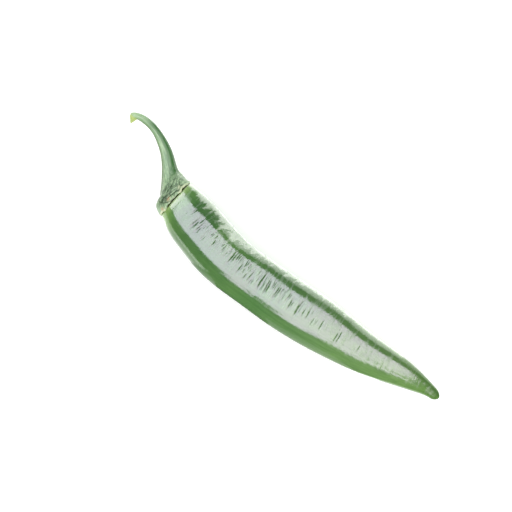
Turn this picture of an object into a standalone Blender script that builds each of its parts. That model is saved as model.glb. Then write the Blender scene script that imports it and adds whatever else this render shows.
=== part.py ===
"""A long green chilli pepper as picked, lying on its side: a pod, and a stem that flares into its calyx.

Lengths are in millimetres from the seat, the point where stem and pod meet, with +X from the stem to
the tip, +Y to the left of that and +Z up. MM turns them into Blender's metres.
"""

import math

import bmesh
import bpy
import numpy as np

MM = 0.001

# The seat, from the origin on the table under the middle of the whole chilli
SEAT = (-43.36, -0.24, 9.5)
TABLE_Z = -SEAT[2]

# The pod from above: left edge x, y, right edge x, y, and the height of the middle between them
POD_BACK = (0.3, -0.2, 0.0)
POD_STATIONS = (
    (0.5, 3.2, 0.5, -3.6, 0.0),
    (1.7, 6.6, 1.95, -6.95, 0.0),
    (2.6, 7.1, 2.6, -7.7, -0.1),
    (4.2, 7.3, 3.7, -8.4, -0.1),
    (6.4, 7.5, 5.2, -9.3, -0.3),
    (10.6, 7.6, 8.7, -10.7, -0.5),
    (16.9, 7.2, 14.9, -11.9, -0.4),
    (29.2, 6.2, 29.2, -13.2, -0.4),
    (41.0, 7.0, 43.3, -11.9, -0.7),
    (53.0, 8.8, 55.9, -10.5, -0.5),
    (65.1, 10.4, 68.2, -8.1, -0.9),
    (75.7, 11.3, 78.6, -5.3, -1.6),
    (86.1, 11.9, 89.2, -2.0, -2.2),
    (94.1, 12.8, 97.2, 1.3, -2.6),
    (101.6, 13.4, 103.8, 4.7, -2.7),
    (108.4, 13.3, 109.6, 7.5, -2.9),
    (113.0, 12.8, 113.5, 9.1, -3.2),
    (115.4, 12.3, 115.6, 9.75, -3.45),
)
POD_TIP = (116.9, 11.0, -3.6)
POD_HEIGHT = 0.96  # of the width

# Three seed chambers show as lobes with shallow furrows between them, which turn slowly along the pod
LOBES = 3
LOBE_DEPTH = 0.026  # of the radius
FURROW_AT = math.radians(121)
FURROW_X = 28.0
TWIST = math.radians(0.45)  # a millimetre of length
FULL_RADIUS = 9.7

# Soft dents and swellings: x, angle round the pod, length, width and depth, with swellings negative
DENTS = (
    (14.0, 50, 8.0, 4.2, 0.50),
    (27.0, 34, 9.0, 4.5, 1.15),
    (50.5, 52, 7.0, 6.0, 0.26),
    (63.0, 70, 7.0, 7.0, -0.14),
    (79.0, 150, 6.0, 5.0, 0.16),
    (24.0, 168, 6.0, 6.0, -0.22),
    (60.0, 205, 9.0, 6.0, 0.20),
    (90.0, 330, 8.0, 5.0, 0.18),
    (33.0, 320, 9.0, 6.0, 0.22),
    (70.0, 10, 8.0, 5.0, -0.14),
)

# The stem and calyx from above, from the cut end to the rim, given as the pod's stations are
STEM_STATIONS = (
    (-30.0, 10.4, -27.8, 8.3, 2.0),
    (-30.1, 11.2, -27.4, 9.8, 2.3),
    (-29.3, 12.1, -27.1, 10.8, 2.5),
    (-28.0, 12.9, -26.5, 11.1, 2.6),
    (-25.7, 13.7, -25.0, 11.3, 2.6),
    (-22.6, 14.0, -22.6, 11.4, 2.6),
    (-18.7, 13.6, -19.4, 10.9, 2.4),
    (-14.7, 12.6, -16.3, 9.6, 2.0),
    (-11.0, 11.2, -13.3, 7.9, 1.5),
    (-8.0, 9.5, -10.6, 5.7, 1.0),
    (-5.9, 8.2, -8.1, 3.1, 0.6),
    (-4.5, 7.5, -6.1, 0.7, 0.3),
    (-3.7, 7.4, -4.3, -1.7, 0.2),
    (-2.9, 7.4, -3.1, -3.7, 0.1),
    (-2.1, 7.4, -2.3, -5.5, 0.0),
    (-1.0, 7.3, -1.3, -6.6, 0.0),
    (0.0, 7.2, 0.2, -7.3, 0.0),
    (0.9, 7.1, 1.4, -7.6, 0.0),
)
# The calyx from the inside of its rim to the middle of its underside, over the pod's shoulder
UNDER_STATIONS = (
    (1.0, 6.75, 1.35, -7.25, 0.0),
    (0.6, 6.1, 0.85, -6.6, 0.0),
    (0.35, 5.1, 0.45, -5.5, 0.0),
    (0.05, 3.4, 0.05, -3.8, 0.0),
)
UNDER_MIDDLE = (-0.1, -0.2, 0.0)
STEM_HEIGHT = 0.95  # of the width

RIBS = 5  # run down the stem and on over the calyx
RIB_DEPTH = 0.075  # of the radius
RIB_AT = math.radians(125)
CALYX_X = -5.0  # the stem flares into the calyx from here on
TEETH = 6
TOOTH_LENGTH = 0.16
TOOTH_CURL = 0.15
RIM_SAG = 0.24  # the rim reaches further over the pod at its sides than above and below
FOLDS_X = (-2.3, -0.2)  # creases round the calyx behind its rim
FOLD_WIDTH = 0.5
FOLD_DEPTH = 0.28
CUT_DEPTH = 0.35  # the cut end is a little hollow
CUT_RIM = 0.62  # of the end's radius

POD_RINGS = 66
POD_SIDES = 48
STEM_RINGS = 56
STEM_SIDES = 44
WELD = 1e-7


def srgb(colour):
    """The linear red, green, blue and alpha of a six-digit hex colour."""
    channels = [int(colour[i : i + 2], 16) / 255 for i in (0, 2, 4)]
    return [c / 12.92 if c <= 0.04045 else ((c + 0.055) / 1.055) ** 2.4 for c in channels] + [1.0]


def smooth_through(points, first, last, count):
    """Points on a natural cubic spline through the given ones, in count even steps between two knots."""
    points = np.array(points, float)
    gaps = np.linalg.norm(np.diff(points, axis=0), axis=1)
    knots = np.concatenate([[0.0], np.cumsum(gaps)])
    slopes = np.diff(points, axis=0) / gaps[:, None]
    system = np.eye(len(points))
    change = np.zeros_like(points)
    for i in range(1, len(points) - 1):
        system[i, i - 1 : i + 2] = gaps[i - 1], 2 * (gaps[i - 1] + gaps[i]), gaps[i]
        change[i] = 6 * (slopes[i] - slopes[i - 1])
    bend = np.linalg.solve(system, change)
    at = np.linspace(knots[first], knots[last], count)
    span = np.clip(np.searchsorted(knots, at, side="right") - 1, 0, len(gaps) - 1)
    gap = gaps[span][:, None]
    before = (at - knots[span])[:, None]
    after = gap - before
    return (
        (bend[span] * after**3 + bend[span + 1] * before**3) / (6 * gap)
        + (points[span] / gap - bend[span] * gap / 6) * after
        + (points[span + 1] / gap - bend[span + 1] * gap / 6) * before
    )


def pole(point):
    """A station whose left and right edges meet in one point."""
    x, y, z = point
    return (x, y, x, y, z)


def beyond(station):
    """The station seen in a mirror past a pole, where left and right change places."""
    left_x, left_y, right_x, right_y, z = station
    return (right_x, right_y, left_x, left_y, z)


def rings_between(stations, height, sides):
    """For each station, an ellipse through its left and right edges, with the angles of its points."""
    left = np.column_stack([stations[:, 0:2], stations[:, 4]])
    right = np.column_stack([stations[:, 2:4], stations[:, 4]])
    centre = (left + right) / 2
    side = (left - right) / 2
    radius = np.linalg.norm(side, axis=1)
    up = np.zeros_like(side)
    up[:, 2] = radius * height
    angle = np.linspace(0, 2 * math.pi, sides, endpoint=False)
    out = side[:, None] * np.cos(angle)[None, :, None] + up[:, None] * np.sin(angle)[None, :, None]
    return centre, out, radius, angle


def pod_rings():
    """The pod's rings from the calyx end to the tip, with lobes and dents, flat where it lies."""
    path = [beyond(POD_STATIONS[0]), pole(POD_BACK), *POD_STATIONS, pole(POD_TIP), beyond(POD_STATIONS[-1])]
    stations = smooth_through(path, 1, len(path) - 2, POD_RINGS)
    centre, out, radius, angle = rings_between(stations, POD_HEIGHT, POD_SIDES)
    along = centre[:, 0:1]
    full = radius[:, None] / FULL_RADIUS
    swell = -LOBE_DEPTH * full * np.cos(LOBES * (angle - FURROW_AT - TWIST * (along - FURROW_X)))
    for x, degrees, length, width, depth in DENTS:
        turned = np.arctan2(np.sin(angle - math.radians(degrees)), np.cos(angle - math.radians(degrees)))
        near = np.exp(-(((along - x) / length) ** 2) - (turned * FULL_RADIUS / width) ** 2)
        swell = swell - depth / FULL_RADIUS * near * full
    rings = centre[:, None] + out * (1 + swell)[:, :, None]
    rings[:, :, 2] = np.maximum(rings[:, :, 2], TABLE_Z)
    return rings


def ramp(values, low, high):
    """0 below low and 1 above high, with an even S between them."""
    t = np.clip((values - low) / (high - low), 0, 1)
    return t * t * (3 - 2 * t)


def stem_rings():
    """The stem's rings from its cut end over the calyx to the rim, then back under it to the middle."""
    outer = smooth_through(STEM_STATIONS, 0, len(STEM_STATIONS) - 1, STEM_RINGS)
    under = np.array([*UNDER_STATIONS, pole(UNDER_MIDDLE)], float)
    centre, out, radius, angle = rings_between(outer, STEM_HEIGHT, STEM_SIDES)
    along = centre[:, 0:1]
    calyx = ramp(along, CALYX_X, 0.0)
    ribs = np.cos(RIBS * (angle - RIB_AT))
    swell = RIB_DEPTH * (1 - 0.75 * calyx) * ribs
    for number, fold_x in enumerate(FOLDS_X):
        wander = fold_x + 0.35 * np.sin(3 * angle + 2 * number) + 0.2 * np.cos(5 * angle)
        depth = FOLD_DEPTH * (0.6 + 0.4 * np.cos(2 * angle + number))
        swell = swell - depth / radius[:, None] * np.exp(-(((along - wander) / FOLD_WIDTH) ** 2)) * calyx
    rim = ramp(along, -1.5, 1.3)
    teeth = np.cos(TEETH * angle + 0.6)
    swell = swell + TOOTH_CURL / radius[:, None] * rim * teeth
    rings = centre[:, None] + out * (1 + swell)[:, :, None]
    reach = TOOTH_LENGTH * teeth + RIM_SAG * np.cos(2 * angle)
    rings[:, :, 0] += rim * reach
    under_centre, under_out, _, _ = rings_between(under, STEM_HEIGHT, STEM_SIDES)
    inside = under_centre[:, None] + under_out * np.ones((1, STEM_SIDES, 1))
    inside[0, :, 0] += reach
    end = rings[0]
    middle = end.mean(axis=0)
    inward = (centre[2] - centre[0]) / np.linalg.norm(centre[2] - centre[0]) * CUT_DEPTH
    hollow = middle + (end - middle) * CUT_RIM + inward
    cut_middle = np.tile(middle + inward, (STEM_SIDES, 1))
    return np.concatenate([[cut_middle], [hollow], rings, inside])


def wrap(name, rings):
    """A mesh wrapped round the rings: a sheet of squares, rolled up, with seam and ends closed."""
    rows, sides = rings.shape[:2]
    sheet = bmesh.new()
    bmesh.ops.create_grid(sheet, x_segments=rows - 1, y_segments=sides, size=1.0)
    for vertex in sheet.verts:
        row = round((vertex.co.x + 1) / 2 * (rows - 1))
        turn = round((vertex.co.y + 1) / 2 * sides) % sides
        vertex.co = rings[row, turn] * MM
    bmesh.ops.remove_doubles(sheet, verts=sheet.verts, dist=WELD)
    bmesh.ops.recalc_face_normals(sheet, faces=sheet.faces)
    mesh = bpy.data.meshes.new(name)
    sheet.to_mesh(mesh)
    sheet.free()
    mesh.shade_smooth()
    return mesh


def finish(name, colour, roughness):
    """A plain Principled material."""
    material = bpy.data.materials.new(name)
    material.use_nodes = True
    shader = material.node_tree.nodes["Principled BSDF"]
    shader.inputs["Base Color"].default_value = srgb(colour)
    shader.inputs["Roughness"].default_value = roughness
    shader.inputs["Metallic"].default_value = 0.0
    return material


def add_piece(name, rings, material, seat):
    """One named object whose own origin is at the seat."""
    mesh = wrap(name, rings)
    mesh.materials.append(material)
    piece = bpy.data.objects.new(name, mesh)
    piece.parent = seat
    bpy.context.scene.collection.objects.link(piece)
    return piece


def main():
    for obj in list(bpy.data.objects):
        bpy.data.objects.remove(obj)
    seat = bpy.data.objects.new("seat", None)
    seat.location = [value * MM for value in SEAT]
    bpy.context.scene.collection.objects.link(seat)
    add_piece("pod", pod_rings(), finish("waxy green skin", "44702F", 0.2), seat)
    add_piece("stem_with_calyx", stem_rings(), finish("dull green stem", "6F9164", 0.42), seat)


main()
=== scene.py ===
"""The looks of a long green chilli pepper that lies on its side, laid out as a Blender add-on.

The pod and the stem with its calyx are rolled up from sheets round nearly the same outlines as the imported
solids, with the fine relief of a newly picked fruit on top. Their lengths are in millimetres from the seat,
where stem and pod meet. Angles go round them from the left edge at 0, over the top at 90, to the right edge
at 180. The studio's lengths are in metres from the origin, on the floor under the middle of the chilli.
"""

import math

import bmesh
import bpy
import numpy as np
from mathutils import Matrix


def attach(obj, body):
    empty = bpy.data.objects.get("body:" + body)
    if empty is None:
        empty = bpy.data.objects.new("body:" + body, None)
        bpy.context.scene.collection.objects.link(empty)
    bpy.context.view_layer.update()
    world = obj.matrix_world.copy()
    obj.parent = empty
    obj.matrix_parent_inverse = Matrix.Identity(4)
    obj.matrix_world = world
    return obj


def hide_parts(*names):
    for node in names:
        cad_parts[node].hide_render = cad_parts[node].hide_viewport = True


bl_info = {
    "name": "Chilli Pepper",
    "version": (1, 0, 0),
    "blender": (4, 5, 0),
    "location": "3D View > Sidebar > Chilli",
    "description": "Builds a green chilli pepper and a plain studio round it",
    "category": "Add Mesh",
}

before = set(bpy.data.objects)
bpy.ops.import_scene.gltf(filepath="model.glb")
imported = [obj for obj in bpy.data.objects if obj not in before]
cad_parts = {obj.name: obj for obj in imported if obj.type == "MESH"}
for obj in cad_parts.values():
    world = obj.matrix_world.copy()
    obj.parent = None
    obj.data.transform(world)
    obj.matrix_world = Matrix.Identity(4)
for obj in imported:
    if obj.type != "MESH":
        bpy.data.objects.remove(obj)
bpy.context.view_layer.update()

MM = 0.001
WELD = 1e-7
CREASE_REACH = 3.0  # how far along the skin one crease is worked out

# The seat, from the origin
SEAT = (-43.36, -0.24, 9.5)
TABLE_Z = -SEAT[2]

# The pod from above: left edge x, y, right edge x, y, and the height of the middle between them
POD_BACK = (0.3, -0.2, 0.0)
POD_STATIONS = (
    (0.5, 3.2, 0.5, -3.6, 0.0),
    (1.15, 6.5, 1.35, -6.95, 0.0),
    (1.75, 7.1, 1.9, -7.6, 0.0),
    (2.8, 7.3, 2.9, -8.05, -0.1),
    (4.2, 7.35, 3.9, -8.5, -0.1),
    (6.4, 7.5, 5.2, -9.3, -0.3),
    (10.6, 7.6, 8.7, -10.7, -0.5),
    (16.9, 7.2, 14.9, -11.9, -0.4),
    (29.2, 6.2, 29.2, -13.2, -0.4),
    (41.0, 7.0, 43.3, -11.9, -0.7),
    (53.0, 8.8, 55.9, -10.5, -0.5),
    (65.1, 10.4, 68.2, -8.1, -0.9),
    (75.7, 11.3, 78.6, -5.3, -1.6),
    (86.1, 11.9, 89.2, -2.0, -2.2),
    (94.1, 12.8, 97.2, 1.3, -2.6),
    (101.6, 13.4, 103.9, 4.4, -2.7),
    (108.4, 13.35, 109.8, 7.15, -2.9),
    (113.1, 13.0, 113.7, 8.65, -3.2),
    (115.5, 12.5, 115.8, 9.3, -3.45),
)
POD_TIP = (116.9, 11.0, -3.6)
POD_HEIGHT = 0.96  # of the width
POD_LENGTH = 116.0
LOBES = 3
FURROW_AT = math.radians(121)  # the angle of a furrow between two lobes, at FURROW_X
FURROW_X = 28.0
FULL_RADIUS = 9.7  # where the pod is thickest

# Soft dents and swellings: x, angle, half length, half width and depth, with swellings negative
DENTS = (
    (5.5, 50, 6.0, 3.7, 0.50),
    (12.5, 47, 9.0, 3.7, 0.90),
    (27.0, 34, 9.0, 4.5, 1.15),
    (50.5, 52, 7.0, 6.0, 0.26),
    (63.0, 70, 7.0, 7.0, -0.14),
    (79.0, 150, 6.0, 5.0, 0.16),
    (24.0, 168, 6.0, 6.0, -0.22),
    (60.0, 205, 9.0, 6.0, 0.20),
    (90.0, 330, 8.0, 5.0, 0.18),
    (33.0, 320, 9.0, 6.0, 0.22),
    (70.0, 10, 8.0, 5.0, -0.14),
    (70.0, 38, 8.5, 4.0, -0.30),
    (31.0, 112, 9.0, 4.0, -0.25),
)

# The plain creases that run crossways over the back: x, angle, half length and half width
SLITS = (
    (9.4, 73, 1.6, 0.33),
    (12.6, 87, 2.8, 0.60),
    (13.5, 75, 1.6, 0.33),
    (14.8, 89, 2.6, 0.43),
    (15.6, 81, 1.8, 0.35),
    (18.1, 97, 1.6, 0.33),
    (19.6, 77, 1.6, 0.30),
    (22.2, 85, 2.3, 0.38),
    (23.0, 83, 2.0, 0.43),
    (26.0, 81, 2.0, 0.35),
    (28.3, 75, 1.6, 0.30),
    (30.3, 78, 2.8, 0.45),
    (31.8, 71, 1.6, 0.35),
    (33.2, 70, 1.5, 0.28),
    (34.7, 86, 1.9, 0.35),
    (35.6, 73, 1.7, 0.30),
    (36.4, 83, 1.6, 0.35),
    (37.1, 70, 1.6, 0.28),
    (37.8, 94, 1.6, 0.35),
    (38.4, 74, 1.8, 0.35),
    (39.3, 85, 2.4, 0.43),
    (40.3, 92, 2.2, 0.43),
    (41.2, 72, 1.8, 0.33),
    (42.1, 77, 2.2, 0.40),
    (43.4, 80, 3.4, 0.50),
    (44.1, 85, 3.1, 0.66),
    (45.8, 79, 2.4, 0.40),
    (46.2, 91, 2.0, 0.33),
    (47.6, 75, 1.8, 0.33),
    (48.7, 73, 1.6, 0.28),
    (49.8, 85, 2.8, 0.45),
    (51.0, 72, 1.5, 0.28),
    (52.2, 83, 2.6, 0.35),
    (54.2, 77, 1.8, 0.30),
    (56.0, 86, 2.2, 0.38),
    (59.2, 84, 3.2, 0.50),
    (61.3, 86, 1.5, 0.26),
    (63.0, 83, 1.8, 0.30),
    (65.5, 91, 1.5, 0.22),
    (68.8, 87, 1.8, 0.28),
    (75.3, 94, 1.5, 0.28),
    (76.2, 89, 2.1, 0.34),
    (84.0, 86, 1.3, 0.22),
)
SLIT_DEPTH = 0.75  # of its width
# Painted shade darkens the skin in the plain creases, fully where one is this deep
SLIT_SHADE_DEPTH = 0.25  # where a crease is at its darkest
# The short creases between them, strewn at random: lowest, likeliest and highest x and angle, the range of
# half lengths, the range of depths before squaring, and the lean's middle and spread
CREASE_X = (5, 30, 82)
CREASE_AT = (66, 76, 92)
CREASE_LENGTHS = (0.6, 2.2)
CREASE_DEPTHS = (0.3, 1.0)
CREASE_LEAN = (0.1, 0.2)
CREASE_WIDTH = 0.24

# Marks on the skin: a paler patch of painted light, the floor's reflection, by middle and half width along
# the pod and by angle and half width in radians, the painted shade along the left flank, with where it starts
# and is full, and where the shade under the rim ends
LIT_PATCH_X = (4.5, 4.0)
LIT_PATCH_AT = 168
LIT_PATCH_WIDTH = 0.55
SIDE_SHADE_AT = 50
SIDE_SHADE_WIDTH = 0.5
SIDE_SHADE_FROM = (22.0, 50.0)
SHADE_TO = (1.6, 1.95)

# A painted sheen, the floor's pale reflection painted into the skin's colour: how far up the left flank it
# reaches, and how much further round SHEEN_X, with its half length
SHEEN_REACH = math.radians(56)
SHEEN_MORE = math.radians(20)
SHEEN_X = (25.0, 12.0)
# Between which angles it comes in from below, and where along the pod it starts and ends
SHEEN_FROM = (math.radians(-6), math.radians(22))
SHEEN_START = (-0.5, 3.0)
SHEEN_END = (74.0, 108.0)
# A denser patch of it behind the calyx: amount, middle and half width in radians, and where it ends
PATCH = 0.35
PATCH_AT = (0.25, 0.3)
PATCH_END = (9.0, 18.0)
# Broad slanting strokes of the painted sheen over the painted shade on the left flank: x at the left edge and
# half width
STROKES = ((8.0, 0.5), (13.0, 0.75), (22.5, 0.9), (27.5, 1.1))
STROKE = 0.34
STROKE_LEAN = -3.0  # millimetres for each radian
STROKE_REACH = 1.15

# The fine ripples: least on the right flank, full from the second distance to the right of the middle, fewer
# towards the tip, and calm along the left edge
RIPPLE_LEAST = 0.2
RIPPLE_RIGHT = (-5.0, -0.5)
RIPPLE_LOSS = 0.65
RIPPLE_END = (45.0, 75.0)
CALM = 0.8
CALM_WIDTH = 0.4
# They fray the upper edge of the painted sheen: amount, share of its reach, half width and where they start
FRAY = 0.7
FRAY_AT = 0.65
FRAY_WIDTH = 0.22
FRAY_START = (2.0, 10.0)

# The stem and calyx from above, from the cut end to the rim, given as the pod's stations are
STEM_STATIONS = (
    (-30.0, 10.4, -27.8, 8.3, 2.0),
    (-30.1, 11.2, -27.4, 9.8, 2.3),
    (-29.3, 12.1, -27.1, 10.8, 2.5),
    (-28.0, 12.9, -26.5, 11.1, 2.6),
    (-25.7, 13.7, -25.0, 11.3, 2.6),
    (-22.6, 14.0, -22.6, 11.4, 2.6),
    (-18.7, 13.6, -19.4, 10.9, 2.4),
    (-14.7, 12.6, -16.3, 9.6, 2.0),
    (-11.0, 11.2, -13.3, 7.9, 1.5),
    (-8.0, 9.5, -10.6, 5.7, 1.0),
    (-5.9, 8.2, -8.1, 3.1, 0.6),
    (-4.5, 7.5, -6.1, 0.7, 0.3),
    (-3.7, 7.4, -4.3, -1.7, 0.2),
    (-2.9, 7.4, -3.1, -3.7, 0.1),
    (-2.1, 7.4, -2.3, -5.5, 0.0),
    (-1.0, 7.3, -1.3, -6.6, 0.0),
    (0.0, 7.2, 0.2, -7.3, 0.0),
    (1.15, 7.15, 1.65, -7.65, 0.0),
)
# The calyx from the inside of its rim to the middle of its underside, over the pod's shoulder
UNDER_STATIONS = (
    (1.25, 6.8, 1.6, -7.3, 0.0),
    (0.6, 6.1, 0.85, -6.6, 0.0),
    (0.35, 5.1, 0.45, -5.5, 0.0),
    (0.05, 3.4, 0.05, -3.8, 0.0),
)
UNDER_MIDDLE = (-0.1, -0.2, 0.0)
STEM_HEIGHT = 0.95  # of the width
STEM_X = (-30.0, 1.5)  # from the cut end to the rim
RIBS = 5
RIB_AT = math.radians(125)
CALYX_RIBS = 0.25  # how much of the ribs is left on the calyx
CALYX_X = -5.0
VALLEY_START = (-28, -20)
# How much painted shade darkens the creases and the valleys between the ribs
CREASE_SHADE = 0.95
VALLEY_SHADE = 0.35

# The folds round the calyx, and how far their two waves sway
FOLDS_X = (-3.2, -2.1, -0.9, 0.2)
FOLD_WIDTH = 0.22
FOLD_SWAY = (0.35, 0.2)

# The curled sepal on the calyx's right side: angle, lean for each millimetre, half width, height and start,
# with a slit beside it and one before it
EAR_AT = 165
EAR_LEAN = math.radians(13)
EAR_WIDTH = math.radians(44)
EAR_HEIGHT = 0.6
EAR_START = (-3.1, -2.6)
EAR_CALM = 0.8  # how much it smooths folds and cracks away
SIDE_SLIT = 0.22
SIDE_SLIT_START = (-3.4, -2.8)
FRONT_SLIT = 0.25
SLIT_IN = 0.3
# A notch that runs in from the rim, and its wave
NOTCH_AT = 53
NOTCH_WIDTH = 0.25
NOTCH_SWAY = 0.25
NOTCH_START = (-2.0, -1.2)

# The short cracks in the calyx, given as the creases are, and the deepest ones: x, angle, half length and
# half width
CRACK_X = (-4.5, -1.5, 0.3)
CRACK_LENGTHS = (1.0, 3.2)
CRACK_DEPTHS = (0.3, 1.0)
CRACK_LEAN = (0, 0.35)
CRACK_WIDTH = 0.2
SPLITS = ((-2.3, 82, 1.3, 0.38), (-2.9, 112, 1.1, 0.38), (-2.0, 100, 1.4, 0.34), (-1.0, 92, 1.1, 0.30))
SPLIT_LEAN = 0.2

# The calyx's rim: where it starts, its teeth and their phase, its sag, its lip, and its nicks by the number
# of waves and their phase
RIM_START = (-1.5, 1.3)
TEETH = 6
TEETH_PHASE = 1.47
TOOTH_LENGTH = 0.16
TOOTH_CURL = 0.15
RIM_SAG = 0.12
LIP = 0.2
LIP_X = (0.85, 0.45)
NICK = 0.24
NICKS = ((11, 1.3), (17, 0.4))

# The hollow of the cut end, by shares of its radius, and how far its colour runs up the stalk, on a slant
CUT_DEPTH = 0.35
CUT_SHARES = (0.0, 0.3, 0.62, 0.9)
CUT_SLANT = 0.9
CUT_SLANT_AT = 3.4
CUT_FADE = (1.2, 2.0)

# Marks on the stem: a darker stripe and a darker edge band along the stalk, the rim's pale parts, partly its
# real pale edge and partly painted glints, a painted glint on the rim, and the rim's corky spots
STRIPE_AT = 37
STRIPE_WIDTH = 0.8
STRIPE_START = (-27, -20)
STRIPE_END = (-6.0, -3.0)
EDGE_BAND_AT = 172
EDGE_BAND_WIDTH = 0.66
PALE = 0.25
PALE_NICKS = 0.45
GLINT_SPOTS_AT = (56, 150)
GLINT_SPOT_WIDTH = 0.25
PALE_START = (0.55, 1.0)
GLINT_X = (-0.1, 0.5)
GLINT_AT = 61
GLINT_WIDTH = 0.09
CORKS = ((0.1, 106), (0.5, 138))
CORK = 0.9
CORK_LENGTH = 0.45
CORK_WIDTH = 0.1

# Colours along the pod and along the stem, by share of the length
POD_COLOURS = (
    (0.0, "B4BD86"),
    (0.016, "8CAA66"),
    (0.035, "4B773C"),
    (0.07, "35602C"),
    (0.12, "355E2C"),
    (0.35, "46723A"),
    (0.6, "5E834B"),
    (0.85, "698D4E"),
    (1.0, "567D34"),
)
STEM_COLOURS = (
    (0.0, "8DAA72"),
    (0.12, "7A9A70"),
    (0.7, "7F9B7C"),
    (0.85, "74906F"),
    (1.0, "7A9672"),
)

# The colours of the marks, and how strongly those on the pod show
POD_MARKS = (
    ("furrow", 0.4, "1F3F1B"),
    ("deep", 0.5, "264B1E"),
    ("fresh", 0.6, "7FA556"),
    ("shade", 0.9, "232E18"),
)
STALK_MARKS = (("sunny", "1F5510"), ("shady", "496A2C"))
CRACK_SHADE_COLOUR = "24381F"
# The pale colour of the rim is partly its real pale edge and partly painted glints
RIM_MARKS = (("rim", "C4CDA8"), ("cork", "B89F7C"), ("cut_end", "A3B564"), ("cut_core", "9C8347"))

# What the middle of the picture shows, in millimetres from the seat
AIM = (35.75, 4.04, 0.0)
SENSOR = 36.0  # millimetres across, for the camera
FLOOR_Z = -0.00005  # just clear of the chilli
# Strips of light on the floor beside the pod: name, middle, size and share of the full brightness
STRIPS = (
    ("strip_left", (-0.02, 0.044), (0.15, 0.098), 1.0),
    ("strip_left_end", (0.066, 0.044), (0.022, 0.098), 0.45),
    ("strip_calyx", (-0.0455, -0.03), (0.044, 0.05), 0.6),
    ("strip_calyx_far", (-0.044, -0.105), (0.048, 0.1), 1.25),
    ("strip_calyx_end", (-0.017, -0.03), (0.013, 0.05), 0.26),
    ("strip_tip", (0.03, -0.025), (0.034, 0.05), 0.18),
)
STRIP_Z = 0.0004
# Softboxes overhead, side by side: name, middle, size and tint, which greys the green skin that reflects it
SOFTBOXES = (
    ("softbox_calyx", (-0.225, 0.11), (0.45, 1.3), "F0E6FF"),
    ("softbox_middle", (0.025, 0.11), (0.05, 1.3), "F1E1FD"),
    ("softbox_tip", (0.17, 0.11), (0.24, 1.3), "F2DCFB"),
    ("softbox_corner", (0.335, -0.345), (0.09, 0.39), "F2DCFB"),
    ("softbox_end", (0.235, -0.73), (0.29, 0.38), "F2DCFB"),
)
SOFTBOX_Z = 0.4
# The soft key light: where it is, how it is turned, and its size
KEY_PLACE = (0.24, -0.78, 0.57)
KEY_TURN = (math.radians(55), 0, math.radians(17))
KEY_SIZE = (1.1, 1.1)


def srgb(colour):
    """The linear red, green, blue and alpha of a six-digit hex colour."""
    channels = [int(colour[i : i + 2], 16) / 255 for i in (0, 2, 4)]
    return [c / 12.92 if c <= 0.04045 else ((c + 0.055) / 1.055) ** 2.4 for c in channels] + [1.0]


def ramp(values, low, high):
    """0 below low and 1 above high, with an even S between them."""
    t = np.clip((values - low) / (high - low), 0, 1)
    return t * t * (3 - 2 * t)


def bell(values, middle, width, power=2):
    """1 in the middle, falling off evenly to both sides, to about a third at the width."""
    return np.exp(-(((values - middle) / width) ** power))


def smooth_through(points, first, last, count):
    """Points on a natural cubic spline through the given ones, in count even steps between two knots."""
    points = np.array(points, float)
    gaps = np.linalg.norm(np.diff(points, axis=0), axis=1)
    knots = np.concatenate([[0.0], np.cumsum(gaps)])
    slopes = np.diff(points, axis=0) / gaps[:, None]
    system = np.eye(len(points))
    change = np.zeros_like(points)
    for i in range(1, len(points) - 1):
        system[i, i - 1 : i + 2] = gaps[i - 1], 2 * (gaps[i - 1] + gaps[i]), gaps[i]
        change[i] = 6 * (slopes[i] - slopes[i - 1])
    bend = np.linalg.solve(system, change)
    at = np.linspace(knots[first], knots[last], count)
    span = np.clip(np.searchsorted(knots, at, side="right") - 1, 0, len(gaps) - 1)
    gap = gaps[span][:, None]
    before = (at - knots[span])[:, None]
    after = gap - before
    return (
        (bend[span] * after**3 + bend[span + 1] * before**3) / (6 * gap)
        + (points[span] / gap - bend[span] * gap / 6) * after
        + (points[span + 1] / gap - bend[span + 1] * gap / 6) * before
    )


def pole(point):
    """A station whose left and right edges meet in one point."""
    x, y, z = point
    return (x, y, x, y, z)


def beyond(station):
    """The station seen in a mirror past a pole, where left and right change places."""
    left_x, left_y, right_x, right_y, z = station
    return (right_x, right_y, left_x, left_y, z)


def rings_between(stations, height, sides):
    """For each station, an ellipse through its left and right edges, with the angles of its points."""
    left = np.column_stack([stations[:, 0:2], stations[:, 4]])
    right = np.column_stack([stations[:, 2:4], stations[:, 4]])
    centre = (left + right) / 2
    side = (left - right) / 2
    radius = np.linalg.norm(side, axis=1)
    up = np.zeros_like(side)
    up[:, 2] = radius * height
    angle = np.linspace(0, 2 * math.pi, sides, endpoint=False)
    out = side[:, None] * np.cos(angle)[None, :, None] + up[:, None] * np.sin(angle)[None, :, None]
    return centre, out, radius, angle


def turned(angle, degrees):
    """How far each angle is from the given one, the short way round, in radians."""
    away = angle - math.radians(degrees)
    return np.arctan2(np.sin(away), np.cos(away))


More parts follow.
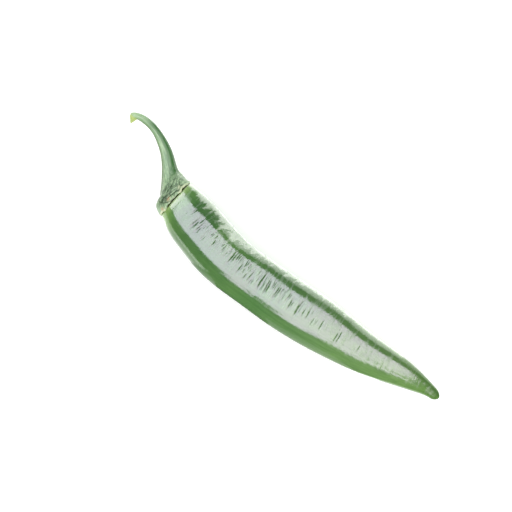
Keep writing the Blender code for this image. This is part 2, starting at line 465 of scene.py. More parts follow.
def pod_rings(settings):
    """The pod's rings from the calyx end to the tip, with lobes, dents and creases, flat where it lies."""
    path = [beyond(POD_STATIONS[0]), pole(POD_BACK), *POD_STATIONS, pole(POD_TIP), beyond(POD_STATIONS[-1])]
    stations = smooth_through(path, 1, len(path) - 2, settings.rings)
    centre, out, radius, angle = rings_between(stations, POD_HEIGHT, settings.sides)
    along = centre[:, 0:1]
    full = radius[:, None] / FULL_RADIUS
    phase = angle - FURROW_AT - settings.twist * (along - FURROW_X)
    swell = -settings.lobe_depth * full * np.cos(LOBES * phase)
    for x, degrees, length, width, depth in DENTS:
        near = bell(along, x, length) * bell(turned(angle, degrees) * FULL_RADIUS, 0, width)
        swell = swell - depth / FULL_RADIUS * near * full
    groove = np.zeros_like(swell)
    for x, degrees, length, width in SLITS:
        add_crease(groove, along, turned(angle, degrees), x, length, width, SLIT_DEPTH * width, 0.0)
    furrow = np.clip(groove / SLIT_SHADE_DEPTH, 0, 1)
    chance = np.random.default_rng(settings.seed)
    for _ in range(settings.creases):
        x = chance.triangular(*CREASE_X)
        degrees = chance.triangular(*CREASE_AT)
        length = chance.uniform(*CREASE_LENGTHS)
        depth = settings.crease_depth * chance.uniform(*CREASE_DEPTHS) ** 2
        lean = chance.normal(*CREASE_LEAN)
        add_crease(groove, along, turned(angle, degrees), x, length, CREASE_WIDTH, depth, lean)
    rings = centre[:, None] + out * (1 + swell - groove / FULL_RADIUS * full)[:, :, None]
    rings[:, :, 2] = np.maximum(rings[:, :, 2], TABLE_Z)
    return rings, pod_marks(along, radius, angle, furrow)


def pod_marks(along, radius, angle, furrow):
    """Where each point is for patterns, and how much of each mark it has, mostly from 0 to 1."""
    off_side = turned(angle, 0) * np.ones_like(along)
    reach = SHEEN_REACH + SHEEN_MORE * bell(along, *SHEEN_X)
    flank = np.clip(1 - np.abs(off_side) / reach, 0, 1)
    flank = flank + PATCH * bell(off_side, *PATCH_AT) * (1 - ramp(along, *PATCH_END))
    for x, width in STROKES:
        stroke = bell(along - STROKE_LEAN * off_side, x, width) * (np.abs(off_side) < STROKE_REACH)
        flank = flank + STROKE * stroke
    on_back = RIPPLE_LEAST + (1 - RIPPLE_LEAST) * ramp(radius[:, None] * np.cos(angle), *RIPPLE_RIGHT)
    calm = 1 - CALM * bell(off_side, 0, CALM_WIDTH)
    ripple = on_back * (1 - RIPPLE_LOSS * ramp(along, *RIPPLE_END)) * calm
    ripple = ripple + FRAY * bell(off_side, FRAY_AT * reach, FRAY_WIDTH) * ramp(along, *FRAY_START)
    return {
        "straight": straightened(along, radius, angle),
        "flank": np.clip(flank, 0, 1) * ramp(along, *SHEEN_START) * (1 - ramp(along, *SHEEN_END)),
        "above": ramp(off_side, *SHEEN_FROM),
        "ripple": ripple,
        "on_back": on_back,
        "furrow": furrow,
        "deep": bell(turned(angle, SIDE_SHADE_AT), 0, SIDE_SHADE_WIDTH) * ramp(along, *SIDE_SHADE_FROM),
        "fresh": bell(along, *LIT_PATCH_X) * bell(turned(angle, LIT_PATCH_AT), 0, LIT_PATCH_WIDTH),
        "shade": (1 - ramp(along, *SHADE_TO)) * np.ones_like(furrow),
    }


def straightened(along, radius, angle):
    """Where each point would be on a straight, round pod or stem, in millimetres, for patterns to follow."""
    places = np.zeros((len(radius), len(angle), 3))
    places[:, :, 0] = along
    places[:, :, 1] = radius[:, None] * np.cos(angle)
    places[:, :, 2] = radius[:, None] * np.sin(angle)
    return places


def add_crease(groove, along, turn, x, length, width, depth, lean):
    """Deepens a groove that runs crossways at x, with half its length to each side of where turn is 0."""
    rows = np.abs(along[:, 0] - x) < CREASE_REACH
    across = turn * FULL_RADIUS
    gap = along[rows] - x - lean * across
    groove[rows] += depth * np.exp(-((gap / width) ** 2) - (across / length) ** 2)


def calyx_folds(along, angle, calyx):
    """Folds that wander round the calyx, 1 where they are deepest."""
    fold = np.zeros((len(along), len(angle)))
    for number, x in enumerate(FOLDS_X):
        wander = x + FOLD_SWAY[0] * np.sin(3 * angle + 2 * number)
        wander = wander + FOLD_SWAY[1] * np.cos(5 * angle + 4 * number)
        uneven = 0.6 + 0.4 * np.cos(2 * angle + number)
        fold = np.maximum(fold, bell(along, wander, FOLD_WIDTH) * calyx * uneven)
    return fold


def curled_sepal(along, radius, angle):
    """The curled sepal, and the slits beside it, before it and in from the rim: 1 where they are plainest."""
    off_ear = turned(angle, EAR_AT) + EAR_LEAN * along
    on_ear = bell(off_ear, 0, EAR_WIDTH, 4)
    beside = (off_ear + EAR_WIDTH) * radius[:, None]
    notch = turned(angle, NOTCH_AT) * radius[:, None] + NOTCH_SWAY * np.sin(3 * along)
    slit = bell(beside, 0, SIDE_SLIT) * ramp(along, *SIDE_SLIT_START)
    slit = np.maximum(slit, bell(along, EAR_START[0], FRONT_SLIT) * on_ear)
    slit = np.maximum(slit, bell(notch, 0, NOTCH_WIDTH) * ramp(along, *NOTCH_START))
    return on_ear * ramp(along, *EAR_START), slit


def calyx_cracks(settings, along, angle):
    """Grooves across the calyx, in millimetres: short ones at random, and the deepest in their own places."""
    groove = np.zeros((len(along), len(angle)))
    chance = np.random.default_rng(settings.seed)
    for _ in range(settings.cracks):
        x = chance.triangular(*CRACK_X)
        turn = turned(angle, chance.uniform(0, 360))
        depth = settings.crack_depth * chance.uniform(*CRACK_DEPTHS)
        length = chance.uniform(*CRACK_LENGTHS)
        add_crease(groove, along, turn, x, length, CRACK_WIDTH, depth, chance.normal(*CRACK_LEAN))
    for x, degrees, length, width in SPLITS:
        add_crease(groove, along, turned(angle, degrees), x, length, width, settings.crack_depth, SPLIT_LEAN)
    return groove


def stem_marks(along, angle, stalk, nicks):
    """How far each point of the stem's outside lies in the darker stripe or edge band, the pale rim with its
    painted glints, or a corky spot, from 0 to 1.
    """
    sunny = bell(turned(angle, STRIPE_AT), 0, STRIPE_WIDTH, 4)
    pale = PALE + PALE_NICKS * nicks
    # Pale spots of painted glints on the rim
    for at in GLINT_SPOTS_AT:
        pale = pale + bell(turned(angle, at), 0, GLINT_SPOT_WIDTH)
    # A painted glint on the rim
    glint = bell(along, *GLINT_X) * bell(turned(angle, GLINT_AT), 0, GLINT_WIDTH)
    corks = [bell(along, x, CORK_LENGTH) * bell(turned(angle, at), 0, CORK_WIDTH) for x, at in CORKS]
    return {
        "sunny": sunny * ramp(along, *STRIPE_START) * (1 - ramp(along, *STRIPE_END)),
        "shady": bell(turned(angle, EDGE_BAND_AT), 0, EDGE_BAND_WIDTH, 4) * stalk,
        "rim": np.maximum(ramp(along, *PALE_START) * np.clip(pale, 0, 1), glint),
        "cork": CORK * sum(corks),
    }


def stem_rings(settings):
    """The stem's rings from its cut end over the calyx to the rim, then back under it to the middle."""
    outer = smooth_through(STEM_STATIONS, 0, len(STEM_STATIONS) - 1, settings.rings)
    under = np.array([*UNDER_STATIONS, pole(UNDER_MIDDLE)], float)
    centre, out, radius, angle = rings_between(outer, STEM_HEIGHT, settings.sides)
    along = centre[:, 0:1]
    calyx = ramp(along, CALYX_X, 0.0)
    stalk = 1 - calyx
    ribs = np.cos(RIBS * (angle - RIB_AT))
    swell = settings.rib_depth * (CALYX_RIBS + (1 - CALYX_RIBS) * stalk) * ribs

    ear, slit = curled_sepal(along, radius, angle)
    fold = calyx_folds(along, angle, calyx) * (1 - EAR_CALM * ear)
    groove = calyx_cracks(settings, along, angle) * (1 - EAR_CALM * ear)
    valley_shade = np.clip(-ribs, 0, 1) ** 8 * stalk * ramp(along, *VALLEY_START)
    relief = EAR_HEIGHT * ear - settings.fold_depth * fold - SLIT_IN * slit - groove

    rim = ramp(along, *RIM_START)
    teeth = np.cos(TEETH * angle - TEETH_PHASE)
    nicks = sum(0.5 * np.sin(waves * angle + phase) for waves, phase in NICKS)
    relief = relief + TOOTH_CURL * rim * teeth + LIP * bell(along, *LIP_X) * (1 + 0.5 * nicks)
    rings = centre[:, None] + out * (1 + swell + relief / radius[:, None])[:, :, None]
    reach = TOOTH_LENGTH * teeth + RIM_SAG * np.cos(2 * angle) + NICK * nicks
    rings[:, :, 0] += rim * reach

    under_centre, under_out, under_radius, _ = rings_between(under, STEM_HEIGHT, settings.sides)
    inside = under_centre[:, None] + under_out * np.ones((1, settings.sides, 1))
    inside[0, :, 0] += reach
    end = rings[0]
    middle = end.mean(axis=0)
    inward = (centre[2] - centre[0]) / np.linalg.norm(centre[2] - centre[0]) * CUT_DEPTH
    cut = [middle + (end - middle) * share + inward * (1 - share) ** 0.5 for share in CUT_SHARES]

    everything = np.concatenate([cut, rings, inside])
    lengths = np.concatenate([np.full((len(cut), 1), along[0, 0]), along, under_centre[:, 0:1]])
    radii = np.concatenate([radius[0] * np.array(CUT_SHARES), radius, under_radius])
    # Painted shade: the folds, slits, cracks and the valleys between the ribs are darkened in colour
    crease = np.maximum(np.maximum(fold, slit), np.clip(groove / settings.crack_depth, 0, 1))
    outside = {
        "crease": crease * CREASE_SHADE + valley_shade * VALLEY_SHADE,
        **stem_marks(along, angle, stalk, nicks),
    }
    marks = {"straight": straightened(lengths, radii, angle)}
    first, last = len(cut), len(cut) + len(rings)
    for name, values in outside.items():
        marks[name] = np.zeros(everything.shape[:2])
        marks[name][first:last] = values
    marks["rim"][last:] = 1
    step = np.linalg.norm(np.diff(centre, axis=0), axis=1)
    from_end = np.concatenate([[0.0], np.cumsum(step)])[:, None]
    marks["cut_end"] = np.ones(everything.shape[:2])
    marks["cut_end"][first:last] = 1 - ramp(from_end - CUT_SLANT * np.cos(angle - CUT_SLANT_AT), *CUT_FADE)
    marks["cut_end"][last:] = 0
    marks["cut_core"] = np.zeros(everything.shape[:2])
    marks["cut_core"][:2] = 1
    return everything, marks


def wrap(name, rings, marks):
    """A mesh wrapped round the rings: a sheet of squares, rolled up, with seam and ends closed."""
    rows, sides = rings.shape[:2]
    sheet = bmesh.new()
    layers = {}
    for mark, values in marks.items():
        kinds = sheet.verts.layers.float_vector if values.ndim == 3 else sheet.verts.layers.float
        layers[mark] = kinds.new(mark)
    bmesh.ops.create_grid(sheet, x_segments=rows - 1, y_segments=sides, size=1.0)
    for vertex in sheet.verts:
        row = round((vertex.co.x + 1) / 2 * (rows - 1))
        turn = round((vertex.co.y + 1) / 2 * sides) % sides
        vertex.co = (rings[row, turn] + SEAT) * MM
        for mark, layer in layers.items():
            vertex[layer] = marks[mark][row, turn]
    bmesh.ops.remove_doubles(sheet, verts=sheet.verts, dist=WELD)
    bmesh.ops.recalc_face_normals(sheet, faces=sheet.faces)
    mesh = bpy.data.meshes.new(name)
    sheet.to_mesh(mesh)
    sheet.free()
    mesh.shade_smooth()
    return mesh


def node(tree, kind, settings=(), links=()):
    """Adds a shader node, sets its values, its sockets by name or number, its colour stops and its links."""
    added = tree.nodes.new(kind)
    for name, value in dict(settings).items():
        if name == "stops":
            elements = added.color_ramp.elements
            while len(elements) < len(value):
                elements.new(0.5)
            for element, (place, colour) in zip(elements, value):
                element.position = place
                element.color = srgb(colour)
        elif isinstance(name, int) or name in added.inputs:
            added.inputs[name].default_value = value
        else:
            setattr(added, name, value)
    for name, source in dict(links).items():
        tree.links.new(source, added.inputs[name])
    return added


def new_material(name):
    """An empty material with its Principled shader, and the pattern coordinates of the straightened shape."""
    material = bpy.data.materials.new(name)
    material.use_nodes = True
    tree = material.node_tree
    shader = tree.nodes["Principled BSDF"]
    place = node(tree, "ShaderNodeAttribute", {"attribute_name": "straight"}).outputs["Vector"]
    return material, tree, shader, place


def pod_skin(settings):
    """Smooth, glossy fruit skin with painted sheen and shade on its left flank and painted shade in its
    creases: darkest behind the calyx, with fine ripples across.
    """
    material, tree, shader, place = new_material("waxy_fruit_skin")
    along = node(tree, "ShaderNodeSeparateXYZ", (), {0: place}).outputs["X"]
    share = node(tree, "ShaderNodeMapRange", {1: 0.0, 2: POD_LENGTH}, {"Value": along}).outputs[0]
    body = node(tree, "ShaderNodeValToRGB", {"stops": POD_COLOURS}, {"Fac": share}).outputs["Color"]

    # Cloudy patches about 12 mm wide, where the skin is ripening unevenly
    cloudy = {"Scale": 1 / 12, "Detail": 3.0}
    clouds = node(tree, "ShaderNodeTexNoise", cloudy, {"Vector": place}).outputs["Fac"]
    patch = node(tree, "ShaderNodeMapRange", {1: 0.35, 2: 0.7, 4: 0.3}, {"Value": clouds}).outputs[0]
    ripe = {"data_type": "RGBA", 7: srgb("6E9150")}
    paler = node(tree, "ShaderNodeMix", ripe, {0: patch, 6: body}).outputs[2]

    # Darker veins along the fruit, 25 mm long and 1 mm apart
    drawn_out = {"operation": "MULTIPLY", 1: (0.04, 1.0, 1.0)}
    drawn = node(tree, "ShaderNodeVectorMath", drawn_out, {0: place}).outputs[0]
    veins = node(tree, "ShaderNodeTexNoise", {"Scale": 1.0, "Detail": 2.0}, {"Vector": drawn}).outputs["Fac"]
    vein = node(tree, "ShaderNodeMapRange", {1: 0.4, 2: 0.7, 4: 0.3}, {"Value": veins}).outputs[0]
    veined = {"data_type": "RGBA", 7: srgb("2C5423")}
    colour = node(tree, "ShaderNodeMix", veined, {0: vein, 6: paler}).outputs[2]

    # Ripples across the fruit, 1.1 mm apart and about 6 mm long, which fray the edges of what it reflects
    drawn_out = {"operation": "MULTIPLY", 1: (0.9, 0.17, 0.17)}
    drawn = node(tree, "ShaderNodeVectorMath", drawn_out, {0: place}).outputs[0]
    ripples = node(
        tree,
        "ShaderNodeTexNoise",
        {"Scale": 1.0, "Detail": 3.0, "Roughness": 0.6, "Distortion": 0.5},
        {"Vector": drawn},
    ).outputs["Fac"]

    # Painted shade in the plain creases, painted shade along the left flank, a paler patch of painted light
    # from the floor's reflection behind the calyx, and the painted shade under the calyx's rim
    for mark, strength, mark_colour in POD_MARKS:
        value = node(tree, "ShaderNodeAttribute", {"attribute_name": mark}).outputs["Fac"]
        part = node(tree, "ShaderNodeMath", {"operation": "MULTIPLY", 1: strength}, {0: value}).outputs[0]
        mixed = node(tree, "ShaderNodeMix", {"data_type": "RGBA", 7: srgb(mark_colour)}, {0: part, 6: colour})
        colour = mixed.outputs[2]

    # A painted sheen on the left flank: the floor's pale reflection painted into the colour, in slanting
    # streaks 6.5 mm long and 1.15 mm wide
    flank = node(tree, "ShaderNodeAttribute", {"attribute_name": "flank"}).outputs["Fac"]
    aslant = node(
        tree,
        "ShaderNodeMapping",
        {"vector_type": "TEXTURE", "Rotation": (0.0, 0.0, math.radians(50)), "Scale": (6.5, 1.15, 3.6)},
        {"Vector": place},
    ).outputs["Vector"]
    streaks = node(
        tree, "ShaderNodeTexNoise", {"Scale": 1.0, "Detail": 3.0, "Roughness": 0.6}, {"Vector": aslant}
    ).outputs["Fac"]
    level = {"operation": "MULTIPLY_ADD", 1: 0.8, 2: -0.3}
    raised = node(tree, "ShaderNodeMath", level, {0: flank}).outputs[0]
    raised = node(tree, "ShaderNodeMath", {"operation": "ADD"}, {0: raised, 1: streaks}).outputs[0]
    frayed = {"operation": "MULTIPLY_ADD", 1: 0.5}
    raised = node(tree, "ShaderNodeMath", frayed, {0: ripples, 2: raised}).outputs[0]
    sheen = node(tree, "ShaderNodeMapRange", {1: 0.82, 2: 0.97, 4: 0.48}, {"Value": raised}).outputs[0]
    above = node(tree, "ShaderNodeAttribute", {"attribute_name": "above"}).outputs["Fac"]
    sheen = node(tree, "ShaderNodeMath", {"operation": "MULTIPLY"}, {0: sheen, 1: above}).outputs[0]
    glossy = {"data_type": "RGBA", 7: tuple(settings.sheen_colour)}
    bloomed = node(tree, "ShaderNodeMix", glossy, {0: sheen, 6: colour}).outputs[2]
    tree.links.new(bloomed, shader.inputs["Base Color"])

    ripple = node(tree, "ShaderNodeAttribute", {"attribute_name": "ripple"}).outputs["Fac"]
    bump = node(
        tree, "ShaderNodeBump", {"Distance": settings.ripple_depth}, {"Height": ripples, "Strength": ripple}
    ).outputs["Normal"]
    tree.links.new(bump, shader.inputs["Normal"])
    more = settings.dull_roughness - settings.roughness
    dull = node(tree, "ShaderNodeMapRange", {1: 0.46, 2: 0.62, 4: more}, {"Value": ripples}).outputs[0]
    on_back = node(tree, "ShaderNodeAttribute", {"attribute_name": "on_back"}).outputs["Fac"]
    dull = node(tree, "ShaderNodeMath", {"operation": "MULTIPLY"}, {0: dull, 1: on_back}).outputs[0]
    dull = node(tree, "ShaderNodeMath", {"operation": "MULTIPLY_ADD", 1: 0.2}, {0: sheen, 2: dull}).outputs[0]
    rough = node(tree, "ShaderNodeMath", {"operation": "ADD", 1: settings.roughness}, {0: dull}).outputs[0]
    tree.links.new(rough, shader.inputs["Roughness"])

    shader.inputs["IOR"].default_value = 1.55
    shader.inputs["Subsurface Weight"].default_value = 0.1
    shader.inputs["Subsurface Radius"].default_value = (0.6, 1.0, 0.3)
    shader.inputs["Subsurface Scale"].default_value = 1.2 * MM
    return material


def stem_skin(settings):
    """Green stalk drying from its cut end: dull and fibrous, with painted shade in the cracked calyx and its
    creases, and a corky, pale rim with painted glints.
    """
    material, tree, shader, place = new_material("dry_green_stalk")
    apart = node(tree, "ShaderNodeSeparateXYZ", (), {0: place})
    along = apart.outputs["X"]
    share = node(tree, "ShaderNodeMapRange", {1: STEM_X[0], 2: STEM_X[1]}, {"Value": along}).outputs[0]
    body = node(tree, "ShaderNodeValToRGB", {"stops": STEM_COLOURS}, {"Fac": share}).outputs["Color"]

    # Pale fibres along the stalk, 0.45 mm apart
    drawn_out = {"operation": "MULTIPLY", 1: (0.12, 2.2, 2.2)}
    drawn = node(tree, "ShaderNodeVectorMath", drawn_out, {0: place}).outputs[0]
    fibres = node(
        tree, "ShaderNodeTexNoise", {"Scale": 1.0, "Detail": 4.0, "Roughness": 0.6}, {"Vector": drawn}
    ).outputs["Fac"]
    pale = node(tree, "ShaderNodeMapRange", {1: 0.42, 2: 0.62, 4: 0.72}, {"Value": fibres}).outputs[0]
    fibrous = {"data_type": "RGBA", 7: tuple(settings.fibre_colour)}
    colour = node(tree, "ShaderNodeMix", fibrous, {0: pale, 6: body}).outputs[2]

    # A darker green stripe on the left side of the stalk towards the top, and a duller green band along its
    # right edge, both streaked by the fibres
    span = {1: 0.38, 2: 0.66, 3: 1.0, 4: 0.9}
    streaked = node(tree, "ShaderNodeMapRange", span, {"Value": fibres}).outputs[0]
    for mark, mark_colour in STALK_MARKS:
        value = node(tree, "ShaderNodeAttribute", {"attribute_name": mark}).outputs["Fac"]
        part = node(tree, "ShaderNodeMath", {"operation": "MULTIPLY"}, {0: value, 1: streaked}).outputs[0]
        mixed = node(tree, "ShaderNodeMix", {"data_type": "RGBA", 7: srgb(mark_colour)}, {0: part, 6: colour})
        colour = mixed.outputs[2]

    # Painted shade in cracks between scales about 1.2 mm long and 3 mm wide, only on the calyx and fainter at
    # its sides, and in the creases, folds and rib valleys
    drawn_out = {"operation": "MULTIPLY", 1: (1.0, 0.38, 0.38)}
    drawn = node(tree, "ShaderNodeVectorMath", drawn_out, {0: place}).outputs[0]
    scales = node(
        tree, "ShaderNodeTexVoronoi", {"feature": "DISTANCE_TO_EDGE", "Scale": 0.85}, {"Vector": drawn}
    ).outputs["Distance"]
    span = {1: 0.03, 2: 0.075, 3: 1.0, 4: 0.0}
    crack = node(tree, "ShaderNodeMapRange", span, {"Value": scales}).outputs[0]
    on_calyx = node(tree, "ShaderNodeMapRange", {1: -5.0, 2: -3.0, 4: 0.8}, {"Value": along}).outputs[0]
    cracked = node(tree, "ShaderNodeMath", {"operation": "MULTIPLY"}, {0: crack, 1: on_calyx}).outputs[0]
    for low, high in ((4.5, 2.0), (-5.0, -3.0)):
        span = {1: low, 2: high, 3: 0.3, 4: 1.0}
        part = node(tree, "ShaderNodeMapRange", span, {"Value": apart.outputs["Y"]}).outputs[0]
        cracked = node(tree, "ShaderNodeMath", {"operation": "MULTIPLY"}, {0: cracked, 1: part}).outputs[0]
    crease = node(tree, "ShaderNodeAttribute", {"attribute_name": "crease"}).outputs["Fac"]
    crack_shade = node(tree, "ShaderNodeMath", {"operation": "MAXIMUM"}, {0: crease, 1: cracked}).outputs[0]
    marks = [(crack_shade, CRACK_SHADE_COLOUR)]
    for mark, mark_colour in RIM_MARKS:
        value = node(tree, "ShaderNodeAttribute", {"attribute_name": mark}).outputs["Fac"]
        marks.append((value, mark_colour))
    for part, mark_colour in marks:
        mixed = node(tree, "ShaderNodeMix", {"data_type": "RGBA", 7: srgb(mark_colour)}, {0: part, 6: colour})
        colour = mixed.outputs[2]
    tree.links.new(colour, shader.inputs["Base Color"])

    height = node(tree, "ShaderNodeMath", {"operation": "SUBTRACT"}, {0: fibres, 1: cracked}).outputs[0]
    bump = node(tree, "ShaderNodeBump", {"Distance": 0.16 * MM}, {"Height": height}).outputs["Normal"]
    tree.links.new(bump, shader.inputs["Normal"])
    shader.inputs["Roughness"].default_value = settings.roughness
    shader.inputs["IOR"].default_value = 1.45
    shader.inputs["Specular IOR Level"].default_value = 0.09
    shader.inputs["Subsurface Weight"].default_value = 0.08
    shader.inputs["Subsurface Radius"].default_value = (0.6, 1.0, 0.3)
    shader.inputs["Subsurface Scale"].default_value = 0.8 * MM
    return material


def add_piece(name, mesh, material, cad_node):
    """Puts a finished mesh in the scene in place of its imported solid."""
    mesh.materials.append(material)
    piece = bpy.data.objects.new(name, mesh)
    bpy.context.scene.collection.objects.link(piece)
    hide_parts(cad_node)
    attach(piece, "root")


class PodSettings(bpy.types.PropertyGroup):
    """Sizes and finish of the pod."""

    rings: bpy.props.IntProperty(name="Rings", description="Rings along the pod", default=760, min=40)
    sides: bpy.props.IntProperty(name="Sides", description="Points round each ring", default=128, min=24)
    lobe_depth: bpy.props.FloatProperty(
        name="Lobe depth", description="Depth of the furrows, as a share of the radius", default=0.026
    )
    twist: bpy.props.FloatProperty(
        name="Twist", description="Turn of the lobes per millimetre, in radians", default=math.radians(0.45)
    )
    creases: bpy.props.IntProperty(name="Creases", description="How many short creases it has", default=170)
    crease_depth: bpy.props.FloatProperty(
        name="Crease depth", description="Depth of the deepest crease, in millimetres", default=0.12
    )
    seed: bpy.props.IntProperty(name="Seed", description="Where the creases fall", default=7)
    # The colour of the painted sheen, the floor's pale reflection painted into the skin
    sheen_colour: bpy.props.FloatVectorProperty(
        name="Bloom colour",
        description="Colour of the waxy bloom",
        default=srgb("C9D6C3"),
        size=4,
        subtype="COLOR",
    )
    roughness: bpy.props.FloatProperty(
        name="Roughness", description="Roughness of the skin", default=0.14, min=0, max=1, subtype="FACTOR"
    )
    dull_roughness: bpy.props.FloatProperty(
        name="Dull roughness", description="Roughness of the dull streaks", default=0.34, min=0.0, max=1.0
    )
    ripple_depth: bpy.props.FloatProperty(
        name="Ripple depth", description="Depth of the finest ripples", default=0.00022, unit="LENGTH"
    )


class StemSettings(bpy.types.PropertyGroup):
    """Sizes and finish of the stem with its calyx."""

    rings: bpy.props.IntProperty(name="Rings", description="Rings along stem and calyx", default=300, min=40)
    sides: bpy.props.IntProperty(name="Sides", description="Points round each ring", default=160, min=24)
    rib_depth: bpy.props.FloatProperty(
        name="Rib depth", description="Height of the ribs, as a share of the radius", default=0.075
    )
    fold_depth: bpy.props.FloatProperty(
        name="Fold depth", description="Depth of the folds round the calyx, in millimetres", default=0.24
    )
    cracks: bpy.props.IntProperty(name="Cracks", description="How many short cracks it has", default=34)
    crack_depth: bpy.props.FloatProperty(
        name="Crack depth", description="Depth of the deepest crack, in millimetres", default=0.12
    )
    seed: bpy.props.IntProperty(name="Seed", description="Where the cracks fall", default=4)
    fibre_colour: bpy.props.FloatVectorProperty(
        name="Fibre colour",
        description="Colour of the fibres",
        default=srgb("AFC8A0"),
        size=4,
        subtype="COLOR",
    )
    roughness: bpy.props.FloatProperty(
        name="Roughness", description="Roughness of the stalk", default=0.36, min=0, max=1, subtype="FACTOR"
    )


class StudioSettings(bpy.types.PropertyGroup):
    """Floor, light and camera."""

    floor_size: bpy.props.FloatProperty(
        name="Floor", description="Width of the floor", default=4, unit="LENGTH"
    )
    glow: bpy.props.FloatProperty(name="Floor glow", description="Light from within the floor", default=0.2)
    room: bpy.props.FloatProperty(name="Room", description="Strength of the even white light", default=1.25)
    dimmed: bpy.props.FloatProperty(name="Dimmed room", description="The same in reflections", default=0.13)
    softbox: bpy.props.FloatProperty(
        name="Softbox", description="Radiance of the panels overhead", default=10.4
    )
    bounce: bpy.props.FloatProperty(name="Bounce", description="Radiance of the strips", default=2.9)
    key: bpy.props.FloatProperty(name="Key light", description="Power of the soft key light", default=1.7)
    camera_height: bpy.props.FloatProperty(
        name="Camera height", description="Height over the chilli's middle", default=0.7, unit="LENGTH"
    )
    camera_turn: bpy.props.FloatProperty(
        name="Camera turn", description="Turn of the picture", default=math.radians(42.756), subtype="ANGLE"
    )
    frame_width: bpy.props.FloatProperty(
        name="Frame width", description="Width that the picture takes in", default=0.1792, unit="LENGTH"
    )


class CHILLI_OT_pod(bpy.types.Operator):
    """Builds the pod with its waxy skin"""

    bl_idname = "chilli.pod"
    bl_label = "Pod"

    def execute(self, context):
        settings = context.scene.chilli_pod
        rings, marks = pod_rings(settings)
        add_piece("pod_skin", wrap("pod_skin", rings, marks), pod_skin(settings), "pod")
        return {"FINISHED"}


class CHILLI_OT_stem(bpy.types.Operator):
    """Builds the stem and the calyx that it flares into"""

    bl_idname = "chilli.stem"
    bl_label = "Stem with calyx"

    def execute(self, context):
        settings = context.scene.chilli_stem
        rings, marks = stem_rings(settings)
        mesh = wrap("stalk", rings, marks)
        add_piece("stalk", mesh, stem_skin(settings), "stem_with_calyx")
        return {"FINISHED"}


def add_panel_light(name, place, turn, size, power, shown, tint="FFFFFF"):
    """A rectangular soft light that the camera doesn't see; shown names the kind of light that it gives."""
    light = bpy.data.lights.new(name, "AREA")
    light.shape = "RECTANGLE"
    light.size, light.size_y = size
    light.energy = power
    light.color = srgb(tint)[:3]
    lamp = bpy.data.objects.new(name, light)
    lamp.location = place
    lamp.rotation_euler = turn
    lamp.visible_camera = False
    lamp.visible_diffuse = shown == "diffuse"
    lamp.visible_glossy = shown == "gloss"
    bpy.context.scene.collection.objects.link(lamp)


def panel_power(radiance, size):
    """The power in watts that gives a panel of that size its radiance."""
    return radiance * math.pi * size[0] * size[1]


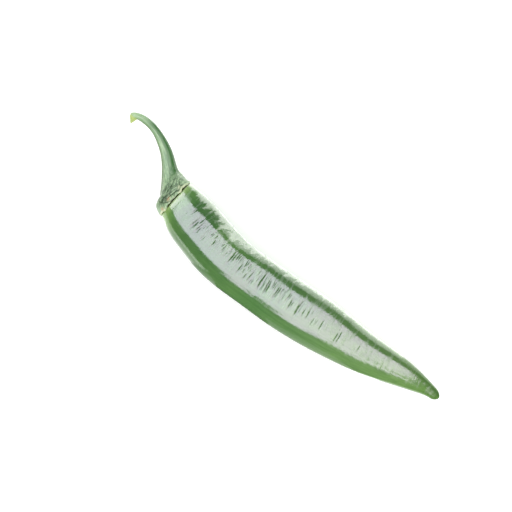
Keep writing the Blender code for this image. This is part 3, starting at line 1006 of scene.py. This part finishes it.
class CHILLI_OT_studio(bpy.types.Operator):
    """Sets up the pale floor, the soft lights and the camera"""

    bl_idname = "chilli.studio"
    bl_label = "Studio"

    def execute(self, context):
        settings = context.scene.chilli_studio
        sheet = bmesh.new()
        bmesh.ops.create_grid(sheet, x_segments=1, y_segments=1, size=settings.floor_size / 2)
        mesh = bpy.data.meshes.new("floor")
        sheet.to_mesh(mesh)
        sheet.free()
        mesh.transform(Matrix.Translation((0, 0, FLOOR_Z)))
        paper = bpy.data.materials.new("matt_white_paper")
        paper.use_nodes = True
        shader = paper.node_tree.nodes["Principled BSDF"]
        shader.inputs["Base Color"].default_value = srgb("FAFAFA")
        shader.inputs["Roughness"].default_value = 1.0
        shader.inputs["Specular IOR Level"].default_value = 0.0
        shader.inputs["Emission Color"].default_value = srgb("FFFFFF")
        shader.inputs["Emission Strength"].default_value = settings.glow
        mesh.materials.append(paper)
        floor = bpy.data.objects.new("floor", mesh)
        floor.visible_glossy = False
        context.scene.collection.objects.link(floor)

        world = bpy.data.worlds.new("white room")
        world.use_nodes = True
        tree = world.node_tree
        gloss = node(tree, "ShaderNodeLightPath").outputs["Is Glossy Ray"]
        strength = node(tree, "ShaderNodeMapRange", {3: settings.room, 4: settings.dimmed}, {"Value": gloss})
        tree.nodes["Background"].inputs["Color"].default_value = (1.0, 1.0, 1.0, 1.0)
        tree.links.new(strength.outputs[0], tree.nodes["Background"].inputs["Strength"])
        context.scene.world = world

        for name, place, size, tint in SOFTBOXES:
            power = panel_power(settings.softbox, size)
            add_panel_light(name, (*place, SOFTBOX_Z), (0, 0, 0), size, power, "gloss", tint)
        up = (math.pi, 0, 0)
        for name, place, size, share in STRIPS:
            power = panel_power(settings.bounce * share, size)
            add_panel_light(name, (*place, STRIP_Z), up, size, power, "gloss")
        add_panel_light("key", KEY_PLACE, KEY_TURN, KEY_SIZE, settings.key, "diffuse")

        eye = bpy.data.cameras.new("camera")
        eye.sensor_width = SENSOR
        eye.lens = SENSOR * settings.camera_height / settings.frame_width
        camera = bpy.data.objects.new("camera", eye)
        x, y, z = [(seat + aim) * MM for seat, aim in zip(SEAT, AIM)]
        camera.location = (x, y, z + settings.camera_height)
        camera.rotation_euler = (0, 0, settings.camera_turn)
        context.scene.collection.objects.link(camera)
        context.scene.camera = camera
        context.scene.view_settings.view_transform = "Standard"
        return {"FINISHED"}


class CHILLI_PT_panel(bpy.types.Panel):
    """Lists the chilli's parts and their settings"""

    bl_label = "Chilli Pepper"
    bl_idname = "CHILLI_PT_panel"
    bl_space_type = "VIEW_3D"
    bl_region_type = "UI"
    bl_category = "Chilli"

    def draw(self, context):
        groups = (
            (context.scene.chilli_pod, CHILLI_OT_pod),
            (context.scene.chilli_stem, CHILLI_OT_stem),
            (context.scene.chilli_studio, CHILLI_OT_studio),
        )
        for settings, operator in groups:
            box = self.layout.box()
            for name in settings.__annotations__:
                box.prop(settings, name)
            box.operator(operator.bl_idname)


CLASSES = (
    PodSettings,
    StemSettings,
    StudioSettings,
    CHILLI_OT_pod,
    CHILLI_OT_stem,
    CHILLI_OT_studio,
    CHILLI_PT_panel,
)


def register():
    """Adds the classes and their settings to Blender."""
    for cls in CLASSES:
        bpy.utils.register_class(cls)
    bpy.types.Scene.chilli_pod = bpy.props.PointerProperty(type=PodSettings)
    bpy.types.Scene.chilli_stem = bpy.props.PointerProperty(type=StemSettings)
    bpy.types.Scene.chilli_studio = bpy.props.PointerProperty(type=StudioSettings)


def unregister():
    """Takes them away again."""
    del bpy.types.Scene.chilli_studio
    del bpy.types.Scene.chilli_stem
    del bpy.types.Scene.chilli_pod
    for cls in reversed(CLASSES):
        bpy.utils.unregister_class(cls)


def main():
    """Builds the chilli and its studio."""
    register()
    bpy.ops.chilli.pod()
    bpy.ops.chilli.stem()
    bpy.ops.chilli.studio()


if __name__ == "__main__":
    main()
